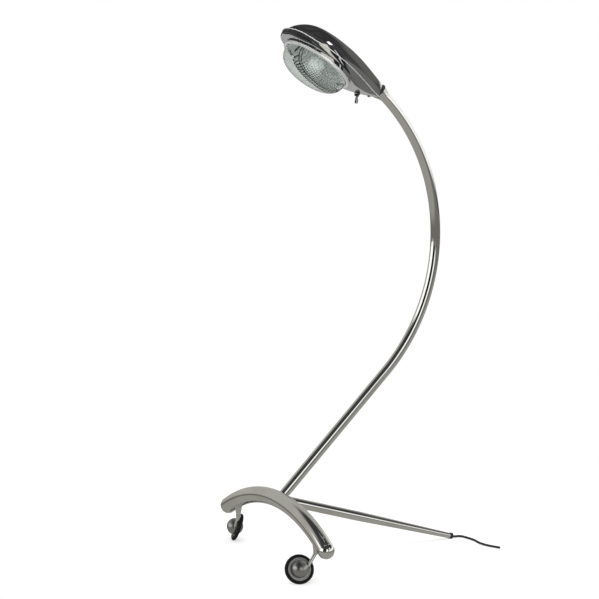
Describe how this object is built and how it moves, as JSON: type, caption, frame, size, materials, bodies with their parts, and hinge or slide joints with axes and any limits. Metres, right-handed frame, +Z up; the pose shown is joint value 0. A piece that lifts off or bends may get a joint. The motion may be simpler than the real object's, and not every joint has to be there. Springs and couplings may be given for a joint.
{
  "type": "examination lamp",
  "caption": "Chromed wheeled examination lamp: teardrop head with a round ribbed glass on a long curved arm, carried by a castered arch base and a tapered rear leg.",
  "frame": {"origin": "centre of the flat contact face under the rear leg's foot, on the floor", "axes": "+Z up; the rear leg runs from the origin towards -X to the arch, and the lamp shines towards -X and down; y = 0 halves arch, leg, arm and head"},
  "size_m": [0.6654, 0.585, 1.3792],
  "materials": {
    "chrome_tube": "polished plating on bent tube",
    "chrome_turned": "polished plating on small turned pieces",
    "chrome_shell": "polished plating on pressed shells",
    "chrome_trim": "polished plating on thin trim",
    "plain_steel": "bare turned steel, out of sight",
    "caster_metal": "dark grey satin plating",
    "wheel_rubber": "smooth black rubber",
    "black_rubber": "matte black rubber",
    "cord_rubber": "satin black sheath",
    "nylon": "natural nylon",
    "black_plastic": "moulded switch body",
    "white_ceramic": "glazed ceramic",
    "lens_glass": "pressed clear glass with a faint green tint",
    "bulb_glass": "frosted glass",
    "reflector_mirror": "bright aluminised bowl",
    "brass": "plain brass",
    "lead_insulation": "flexible insulation"
  },
  "bodies": {
    "base": {"base_arch": "chrome_tube", "end_ball_left": "chrome_tube", "end_ball_right": "chrome_tube", "rear_leg": "chrome_tube", "leg_spigot": "plain_steel", "leg_foot": "black_rubber", "arm_tube": "chrome_tube", "arm_spigot": "plain_steel", "arm_grub_screw": "plain_steel", "power_cord": "cord_rubber", "cord_tail": "cord_rubber", "caster_socket_left": "chrome_turned", "caster_socket_right": "chrome_turned", "neck_collar": "chrome_turned", "neck_seal": "black_rubber"},
    "head": {"top_cover": "chrome_shell", "lower_housing": "chrome_shell", "seam_trim": "chrome_trim", "lens_gasket": "black_rubber", "lens_glass": "lens_glass", "lens_trim_ring": "chrome_trim", "reflector": "reflector_mirror", "lamp_holder": "white_ceramic", "holder_ring": "white_ceramic", "bulb": "bulb_glass", "bulb_cap": "brass", "toggle_body": "black_plastic", "toggle_nut": "chrome_turned", "neck_screw": "chrome_turned", "neck_flange": "plain_steel", "terminal_block": "nylon", "terminal_screws": "brass", "lamp_leads": "lead_insulation", "switch_leads": "lead_insulation"},
    "toggle": {"toggle_lever": "chrome_turned"},
    "caster_left": {"caster_hood_left": "caster_metal", "caster_stem_left": "plain_steel", "caster_clip_left": "plain_steel", "caster_washer_left": "nylon", "caster_axle_left": "plain_steel"},
    "wheel_left": {"caster_hub_left": "caster_metal", "caster_tyre_left": "wheel_rubber"},
    "caster_right": {"caster_hood_right": "caster_metal", "caster_stem_right": "plain_steel", "caster_clip_right": "plain_steel", "caster_washer_right": "nylon", "caster_axle_right": "plain_steel"},
    "wheel_right": {"caster_hub_right": "caster_metal", "caster_tyre_right": "wheel_rubber"}
  },
  "joints": [
    {"name": "head_swivel", "type": "hinge", "parent": "base", "child": "head", "pos_m": [-0.23113, 0, 1.20778], "axis": [-0.7615, 0, 0.6481], "range_deg": [-60, 60]},
    {"name": "switch_toggle", "type": "hinge", "parent": "head", "child": "toggle", "pos_m": [-0.29404, 0, 1.20323], "axis": [0, 1, 0], "range_deg": [0, 24]},
    {"name": "caster_left_swivel", "type": "hinge", "parent": "base", "child": "caster_left", "pos_m": [-0.53071, -0.21594, 0.085], "axis": [0, 0, 1], "continuous": true},
    {"name": "wheel_left_spin", "type": "hinge", "parent": "caster_left", "child": "wheel_left", "pos_m": [-0.57245, -0.20945, 0.03782], "axis": [-0.2416, -0.9018, 0.3584], "continuous": true},
    {"name": "caster_right_swivel", "type": "hinge", "parent": "base", "child": "caster_right", "pos_m": [-0.53071, 0.21594, 0.085], "axis": [0, 0, 1], "continuous": true},
    {"name": "wheel_right_spin", "type": "hinge", "parent": "caster_right", "child": "wheel_right", "pos_m": [-0.52061, 0.25696, 0.03782], "axis": [-0.8773, 0.3193, 0.3584], "continuous": true}
  ]
}
